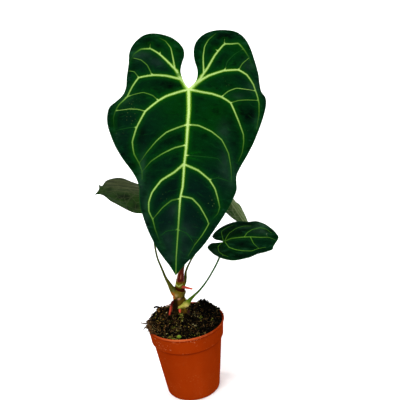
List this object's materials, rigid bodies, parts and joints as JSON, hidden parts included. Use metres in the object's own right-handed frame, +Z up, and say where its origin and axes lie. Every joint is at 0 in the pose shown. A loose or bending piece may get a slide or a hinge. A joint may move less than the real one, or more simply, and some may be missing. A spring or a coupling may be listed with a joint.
{
  "type": "potted anthurium regale",
  "caption": "Young aroid house plant in a tapered nursery pot: a tall heart-shaped velvety leaf with a pale raised vein net in front of smaller leaves on thin stalks.",
  "frame": {"origin": "centre of the flat disc under the pot, on the surface that the pot stands on", "axes": "+Z up, the large leaf's upper face looks towards -Y, and its right side as seen from there is +X"},
  "size_m": [0.236, 0.131, 0.4761],
  "materials": {
    "pot": "satin",
    "mix": "matte",
    "stem": "matte",
    "cataphyll": "satin",
    "dark_blade": "satin",
    "pale_blade": "satin",
    "stalk": "satin",
    "root": "satin",
    "seedling": "satin"
  },
  "bodies": {
    "root": {"pot": "pot", "potting_mix": "mix", "stem": "stem", "cataphyll": "cataphyll", "large_leaf_blade": "dark_blade", "right_leaf_blade": "dark_blade", "left_leaf_blade": "pale_blade", "rear_leaf_blade": "pale_blade", "large_leaf_stalk": "stalk", "left_leaf_stalk": "stalk", "right_leaf_stalk": "stalk", "rear_leaf_stalk": "stalk", "aerial_root_right": "root", "aerial_root_left": "root", "aerial_root_front": "root", "seedling": "seedling"}
  },
  "joints": []
}
